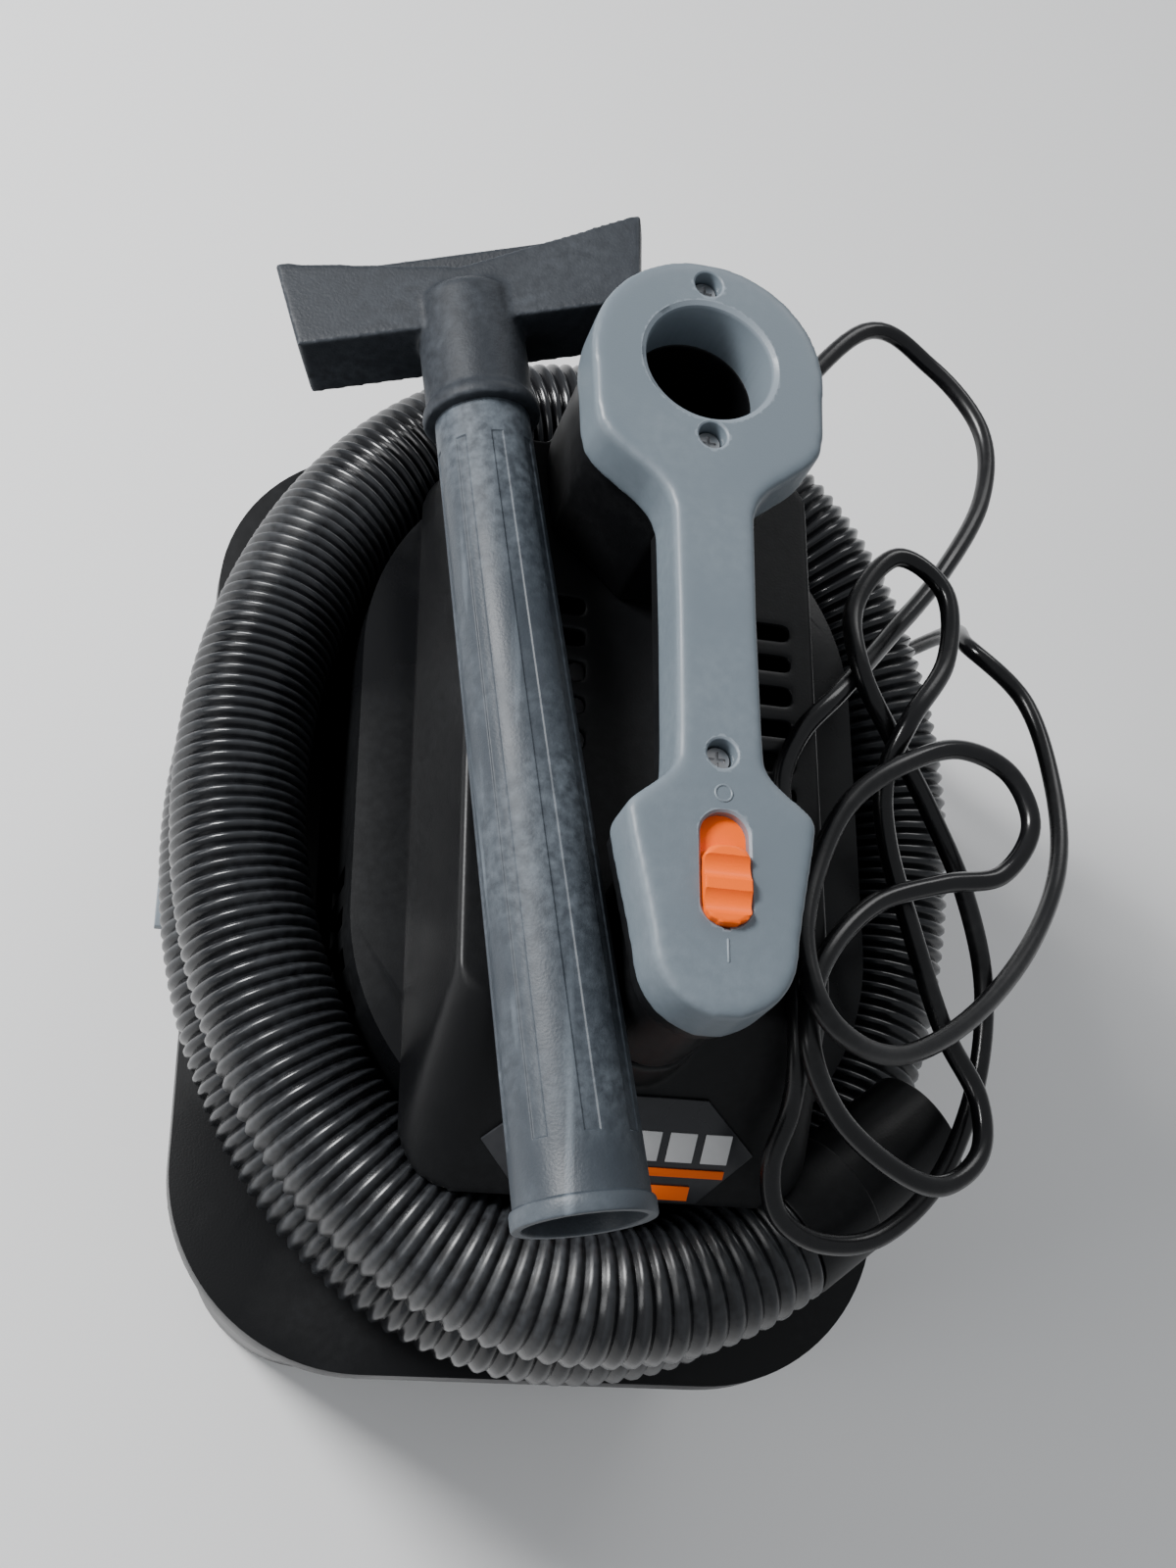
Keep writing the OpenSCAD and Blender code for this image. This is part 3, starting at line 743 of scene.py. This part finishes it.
shells = [  # node, piece, body, material, slot, edge width and segments
    # the deck's material carries painted shade in its darker base colour
    ("deck", "deckShell", "head", deckPlasticPaintedShade, "black_plastic", 1.5, 3),
    ("lid", "lidPlate", "head", blackPlastic, "black_plastic", 1.4, 3),
    ("tank", "tankShell", "tank", blackPlastic, "black_plastic", 1.2, 3),
    ("latch_left", "latchLeft", "latch_left", greyPlastic, "grey_plastic", 0.8, 3),
    ("latch_right", "latchRight", "latch_right", greyPlastic, "grey_plastic", 0.8, 3),
    ("inlet_port", "inletPort", "head", blackPlastic, "black_plastic", 1.0, 2)]


def makeShells():
    for node, name, body, material, slot, width, segments in shells:
        shell = softened(node, name, width, segments, 40)
        finished(shell, body, material, slot, node)


makeCover()
makeShells()
print("shells made")


wandFacts = {"at": (-31, -189.4, 371), "turn": 7.76, "length": 330, "frontR": 23.2, "rearR": 17.7,
    "grooves": 8}


def wandMatrix():
    return (Matrix.Translation(Vector(wandFacts["at"]) * mm)
        @ Matrix.Rotation(math.radians(wandFacts["turn"]), 4, "Z")
        @ Matrix.Rotation(math.radians(-90), 4, "X"))


def makeWand():
    length = wandFacts["length"]
    front = wandFacts["frontR"]
    rear = wandFacts["rearR"]

    def at(distance, extra=0.0):
        return (front + (rear - front) * distance / length + extra, distance)

    profile = [(15.6, length), at(length, -0.6), at(length - 1.5), at(290), at(26), at(7),
        (front + 1.0, 6.2), (front + 1.3, 5.2), (front + 1.3, 0.8), (front + 0.9, 0), (front - 2.0, 0),
        (front - 2.4, 0.6), (front - 3.2, 60), (rear - 2.4, length - 10)]
    wand = turned("wand", profile, 96)
    count = wandFacts["grooves"]

    def inGroove(centre, normal):
        out = math.hypot(centre.x, centre.y) / mm
        if not 30 < centre.z / mm < 286 or out < at(centre.z / mm)[0] - 1:
            return False
        turn = math.degrees(math.atan2(centre.y, centre.x)) % (360 / count)
        return min(turn, 360 / count - turn) < 7

    editFaces(wand, inGroove)
    bpy.ops.mesh.inset(thickness=0.5 * mm)
    bpy.ops.transform.shrink_fatten(value=-0.55 * mm)
    closeEdit()
    edges = wand.modifiers.new("edges", "BEVEL")
    edges.width = 0.15 * mm
    edges.segments = 2
    edges.limit_method = "ANGLE"
    edges.angle_limit = math.radians(30)
    applyAll(wand)
    placed(wand, wandMatrix())
    smoothShade(wand, 30)
    finished(wand, "wand", wandPlastic, "tool_plastic", "wand")


nozzleFacts = {"overlap": 26, "voxel": 1.0, "rounds": 8}


def makeNozzle():
    nozzle = nodeCopy("nozzle", "nozzle")
    start = wandFacts["length"] - nozzleFacts["overlap"]
    rim = turned("rim", [(18.9, start), (22.0, start), (22.6, start + 1.2), (22.6, start + 4.2),
        (21.6, start + 6.4), (18.9, start + 6.4)], 72)
    placed(rim, wandMatrix())
    joined(nozzle, rim)
    remeshed(nozzle, nozzleFacts["voxel"], nozzleFacts["rounds"])
    smoothShade(nozzle, 50)
    # the nozzle's darker material is painted shade
    finished(nozzle, "nozzle", nozzlePlasticPaintedShade, "tool_plastic", "nozzle")


makeWand()
makeNozzle()
print("wand and nozzle made")


badgeFacts = {"bars": 6, "pitch": 13.6, "barW": 10.4, "barL": 12.5, "firstX": -31, "barY": 26,
    "lift": 1.6}


def makeBadge():
    badge = softened("front_badge", "frontBadge", 0.4, 2, 40)
    finished(badge, "head", badgeFilm, "badge_plastic", "front_badge")
    stripe = softened("badge_stripe", "badgeStripe", 0.15, 2, 40)
    finished(stripe, "head", orangePlastic, "orange_plastic", "badge_stripe")
    slope = math.atan2(57, 58)
    bpy.ops.object.select_all(action="DESELECT")
    bpy.ops.mesh.primitive_cube_add(size=1,
        location=(badgeFacts["firstX"] * mm, badgeFacts["barY"] * mm, badgeFacts["lift"] * mm),
        scale=(badgeFacts["barW"] * mm, badgeFacts["barL"] * mm, 0.6 * mm))
    bar = bpy.context.object  # a plain light bar above the orange stripe
    bar.name = "badgeBars"
    bpy.ops.object.transform_apply(location=True, scale=True)
    ends = bar.modifiers.new("ends", "BEVEL")
    ends.width = 0.25 * mm
    ends.segments = 2
    row = bar.modifiers.new("row", "ARRAY")
    row.count = badgeFacts["bars"]
    row.use_relative_offset = False
    row.use_constant_offset = True
    row.constant_offset_displace = (badgeFacts["pitch"] * mm, 0, 0)
    applyAll(bar)
    placed(bar, Matrix.Translation((0, -164 * mm, 288 * mm)) @ Matrix.Rotation(slope, 4, "X"))
    smoothShade(bar)
    finished(bar, "head", whiteInk, "white_plastic")


makeBadge()


def makeStage():
    bpy.ops.object.select_all(action="DESELECT")
    bpy.ops.mesh.primitive_plane_add(size=8, location=(0, 0, 0))
    floor = bpy.context.object
    floor.name = "floor"
    material, tree, surface, place = shader("floorPaint", 0.9, 0.2)
    soft = noise(tree, place, 3, 2)
    tree.links.new(mixed(tree, soft, (0.80, 0.80, 0.80), (0.84, 0.84, 0.84)), surface.inputs["Base Color"])
    floor.data.materials.append(material)
    world = bpy.data.worlds.new("world")
    bpy.context.scene.world = world
    world.use_nodes = True
    world.node_tree.nodes["Background"].inputs["Color"].default_value = (0.93, 0.96, 1, 1)
    world.node_tree.nodes["Background"].inputs["Strength"].default_value = 0.42


def areaLight(name, place, aim, size, power):
    data = bpy.data.lights.new(name, "AREA")
    data.shape = "RECTANGLE"
    data.size, data.size_y = size
    data.energy = power
    light = bpy.data.objects.new(name, data)
    bpy.context.scene.collection.objects.link(light)
    light.location = place
    light.rotation_euler = (Vector(aim) - Vector(place)).to_track_quat("-Z", "Y").to_euler()


makeStage()
lights = {"overhead": ((-1.25, 0.55, 1.45), (0, 0.12, 0.35), (0.5, 0.5), 52),
    "left": ((-2.0, -0.6, 1.3), (0, 0, 0.3), (0.9, 1.0), 12),
    "rear": ((0.9, 1.8, 1.5), (0, 0, 0.3), (1.2, 0.6), 10)}
for name, values in lights.items():
    areaLight(name, *values)
print("stage and lights placed")

print("scene ready")
